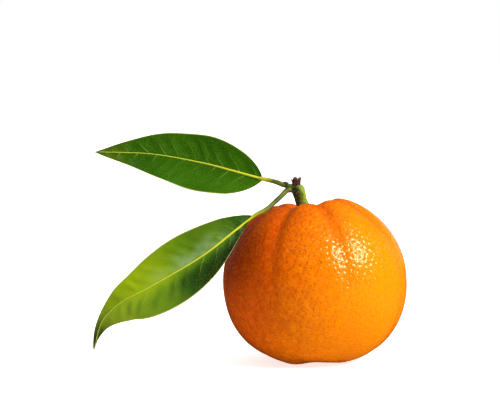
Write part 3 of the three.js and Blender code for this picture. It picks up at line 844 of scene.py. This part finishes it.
marked = add(recipe, "GeometryNodeStoreNamedAttribute", {
    "Geometry": flat_dot.outputs[0], "Name": "fleck", "Value": 1.0}, data_type="FLOAT", domain="POINT")
luck = add(recipe, "FunctionNodeRandomValue", {"Min": 0.45, "Max": 1.0, "Seed": 9}, data_type="FLOAT")
flecks = add(recipe, "GeometryNodeInstanceOnPoints", {
    "Points": spots.outputs["Points"], "Instance": marked.outputs[0],
    "Rotation": spots.outputs["Rotation"], "Scale": luck.outputs[1]})
both = add(recipe, "GeometryNodeJoinGeometry", {0: lit_side_stored.outputs[0]})
recipe.links.new(flecks.outputs[0], both.inputs[0])
finish_recipe(recipe, both.outputs[0], bark_material)

points, faces = [], []
for corners, radii, sides in TWIG_TUBES:
    more_points, more_faces, way = tube(corners, radii, sides, 40)
    faces += [[corner + sum(len(p) for p in points) for corner in face] for face in more_faces]
    points.append(more_points)
twig = new_piece("twig", np.concatenate(points), faces)
remesh = twig.modifiers.new("one skin", "REMESH")
remesh.mode = "VOXEL"
remesh.voxel_size = TWIG_VOXEL
remesh.use_smooth_shade = True
softened = twig.modifiers.new("softened joints", "SMOOTH")
softened.factor = TWIG_SOFTENING
softened.iterations = TWIG_SOFTENINGS
grow(twig, recipe, TWIG_SIZES)
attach(twig, "root")
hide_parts("stem")

# ---- Dry stub ----
# What is left of a flower stalk that dried and broke off: a brittle hollow brown cup on top of
# the twig, split into uneven teeth that curl outwards.

STUB_FOOT = (-6.65, 0, 60.9)
# Each tooth: its bearing from the right, how far it stands up and curls out, and its half-width.
STUB_TEETH = [
    (186, 0.75, 1.0, 28), (248, 0.85, 0.05, 40), (318, 1.1, 0.2, 40), (20, 0.9, 0.3, 36),
    (105, 1.0, 0.15, 42),
]
STUB_RADIUS, STUB_FLARE, STUB_HEIGHT, STUB_WALL = 1.4, 0.1, 2.2, 0.42

# Dead plant skin: dull dark red-brown, cracked lengthwise, with a few paler broken edges.
dry_material, tree, surface = new_material("dry brown stalk skin")
place = add(tree, "ShaderNodeTexCoord").outputs["Object"]
level = number_from(tree, "level")
clouds = noise(tree, 700.0, 4.0, place)
tone = add(tree, "ShaderNodeValToRGB", {"Fac": clouds.outputs[0]}, stops=[
    (0.25, "#1c0502"), (0.5, "#3e1604"), (0.65, "#5e2a0a"), (0.8, "#8a5426")])
rim = spread_over(tree, level, (0.7, 1.0), (0, 0.45))
edged = blend(tree, rim.outputs[0], tone.outputs[0], colour("#96683e"))
tree.links.new(edged.outputs[2], surface.inputs["Base Color"])
rough = spread_over(tree, clouds.outputs[0], (0, 1), (0.6, 0.9))
tree.links.new(rough.outputs[0], surface.inputs["Roughness"])
drawn_out = add(tree, "ShaderNodeMapping", {"Vector": place, "Scale": (1.0, 1.0, 0.25)})
cracks = noise(tree, 3200.0, 2.0, drawn_out.outputs[0])
bump = add(tree, "ShaderNodeBump", {"Height": cracks.outputs[0], "Strength": 0.9, "Distance": 0.1 * MM})
tree.links.new(bump.outputs[0], surface.inputs["Normal"])

turn = np.linspace(0, 2 * math.pi, 120, endpoint=False)
stand, curl = np.zeros_like(turn), np.zeros_like(turn)
for bearing, height, lean, half in STUB_TEETH:
    away = np.abs((turn - math.radians(bearing) + math.pi) % (2 * math.pi) - math.pi) / math.radians(half)
    tooth = np.maximum(0, 1 - away ** 2.2)
    stand = np.maximum(stand, height * tooth)
    curl = np.maximum(curl, lean * tooth)
creased = 1 + 0.05 * np.sin(turn * 9 + 1) + 0.04 * np.sin(turn * 17)
walls = []
for way_up in np.linspace(0, 1, 15):
    radius = (STUB_RADIUS + STUB_FLARE * way_up ** 3) * creased + curl * way_up ** 3
    walls.append((radius, way_up * (STUB_HEIGHT + stand), way_up))
for way_up in np.linspace(1, 0.35, 10):
    thin = STUB_WALL * (1.15 - 0.75 * way_up)
    radius = (STUB_RADIUS + STUB_FLARE * way_up ** 3) * creased + curl * way_up ** 3 - thin - 0.02
    walls.append((radius, way_up * (STUB_HEIGHT + stand) - 0.03, way_up))
walls += [(0.35 * walls[-1][0], walls[-1][1] - 0.15, 0.3)]
rings = [
    np.stack([
        STUB_FOOT[0] + r * np.cos(turn), STUB_FOOT[1] + r * np.sin(turn), STUB_FOOT[2] + z + 0 * turn], -1)
    for r, z, way_up in walls]
first = np.arange(len(turn))
second = (first + 1) % len(turn)
faces = [list(first[::-1]), list((len(rings) - 1) * len(turn) + first)]
for k in range(len(rings) - 1):
    low, high = k * len(turn), (k + 1) * len(turn)
    faces += np.stack([low + first, low + second, high + second, high + first], -1).tolist()
dry_stub = new_piece("dry_flower_stub", np.concatenate(rings), faces, {
    "level": np.repeat([way_up for r, z, way_up in walls], len(turn))})
dry_stub.data.materials.append(dry_material)
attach(dry_stub, "root")
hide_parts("dry_stub")

# ---- Bud ----
# A resting bud where the upper leaf stalk joins the cushion, wrapped in a few tight, dark scales.

BUD_MIDDLE = (-10.25, 0.1, 61.45)
BUD_AXIS_TURN = math.radians(158)
BUD_SIZE = (1.05, 0.93, 0.98)
BUD_SCALES = 4

# Bud scales are small dry leaves, brown-green and dull, with painted shade darkest where they overlap.
scale_material, tree, surface = new_material("brown-green bud scales")
place = add(tree, "ShaderNodeTexCoord").outputs["Object"]
overlap = number_from(tree, "overlap")
clouds = noise(tree, 900.0, 4.0, place)
tone = add(tree, "ShaderNodeValToRGB", {"Fac": clouds.outputs[0]}, stops=[
    (0.25, "#171303"), (0.5, "#2e2a07"), (0.65, "#4a4a0e"), (0.85, "#6a6a20")])
shaded = blend(tree, overlap, tone.outputs[0], colour("#120d02"))
tree.links.new(shaded.outputs[2], surface.inputs["Base Color"])
rough = spread_over(tree, clouds.outputs[0], (0, 1), (0.5, 0.8))
tree.links.new(rough.outputs[0], surface.inputs["Roughness"])
bump = add(tree, "ShaderNodeBump", {"Height": clouds.outputs[0], "Strength": 0.7, "Distance": 0.08 * MM})
tree.links.new(bump.outputs[0], surface.inputs["Normal"])

ball, faces = round_cube(16)
lengthwise = np.arccos(np.clip(ball[:, 0], -1, 1)) / math.pi
around = np.arctan2(ball[:, 2], ball[:, 1])
lap = (lengthwise * BUD_SCALES + 0.25 * np.sin(2 * around)) % 1
swell = 1 + 0.16 * lap ** 2 - 0.10 * (lengthwise < 0.18)
body = ball * np.array(BUD_SIZE) * swell[:, None]
body[:, 0] += 0.35 * np.maximum(ball[:, 0], 0) ** 3
cos_turn, sin_turn = math.cos(BUD_AXIS_TURN), math.sin(BUD_AXIS_TURN)
points = np.stack([
    body[:, 0] * cos_turn - body[:, 2] * sin_turn, body[:, 1],
    body[:, 0] * sin_turn + body[:, 2] * cos_turn], -1) + np.array(BUD_MIDDLE)
bud = new_piece("resting_bud", points, faces, {"overlap": (1 - lap) ** 4 * 0.8})
bud.data.materials.append(scale_material)
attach(bud, "root")
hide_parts("axil_bud")

# ---- Calyx ----
# The green woody button that the twig ends in, with five blunt lobes pressed to the floor of the
# stem cavity.

CALYX_RADIUS, CALYX_LOBES, CALYX_LOBE_DEPTH = 4.1, 5, 0.2
CALYX_MIDDLE, CALYX_RIM, CALYX_COLLAR = 1.0, 0.3, 0.7
CALYX_GAP = 0.05

# Thin green tissue over wood: dull, mottled with brown at the lobes' edges, with fine ridges
# that run out from the twig.
calyx_material, tree, surface = new_material("woody green calyx")
place = add(tree, "ShaderNodeTexCoord").outputs["Object"]
outer = number_from(tree, "outer")
clouds = noise(tree, 500.0, 5.0, place)
share = reckon(tree, "MULTIPLY_ADD", outer, 0.35, clouds.outputs[0])
tone = add(tree, "ShaderNodeValToRGB", {"Fac": share.outputs[0]}, stops=[
    (0.35, "#5d6f14"), (0.6, "#77822a"), (0.75, "#7c7430"), (0.95, "#5a4016")])
tree.links.new(tone.outputs[0], surface.inputs["Base Color"])
rough = spread_over(tree, clouds.outputs[0], (0, 1), (0.5, 0.8))
tree.links.new(rough.outputs[0], surface.inputs["Roughness"])
bump = add(tree, "ShaderNodeBump", {"Height": clouds.outputs[0], "Strength": 0.7, "Distance": 0.1 * MM})
tree.links.new(bump.outputs[0], surface.inputs["Normal"])

turn = np.linspace(0, 2 * math.pi, 160, endpoint=False)
pole = UPPER_HEIGHT - CAVITY_DEPTH
lobe = 1 - CALYX_LOBE_DEPTH * np.abs(np.sin(turn * CALYX_LOBES / 2)) ** 0.7
rings, out = [], []
ring_places = [(s, 1) for s in np.linspace(0.02, 1, 22)] + [(s, 0) for s in np.linspace(0.98, 0.02, 6)]
for reach, on_top in ring_places:
    radius = CALYX_RADIUS * lobe * reach
    wall = cavity(0) - cavity(radius) - radius ** 2 / (2 * EQUATOR_RADIUS)
    thickness = CALYX_MIDDLE + (CALYX_RIM - CALYX_MIDDLE) * reach ** 1.5
    thickness = thickness + CALYX_COLLAR * math.exp(-((reach - 0.62) / 0.12) ** 2)
    thickness = thickness + 0.16 * reach * np.cos(turn * CALYX_LOBES) + 0.07 * reach * np.cos(turn * 30)
    level = pole + wall + CALYX_GAP + on_top * thickness
    rings.append(np.stack([radius * np.cos(turn), radius * np.sin(turn), level], -1))
    out += [reach] * len(turn)
faces = joined_rings(len(rings) - 1, len(turn))
calyx = new_piece("calyx_button", fruit_frame(np.concatenate(rings)), faces, {"outer": np.array(out)})
calyx.data.materials.append(calyx_material)
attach(calyx, "root")
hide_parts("calyx")
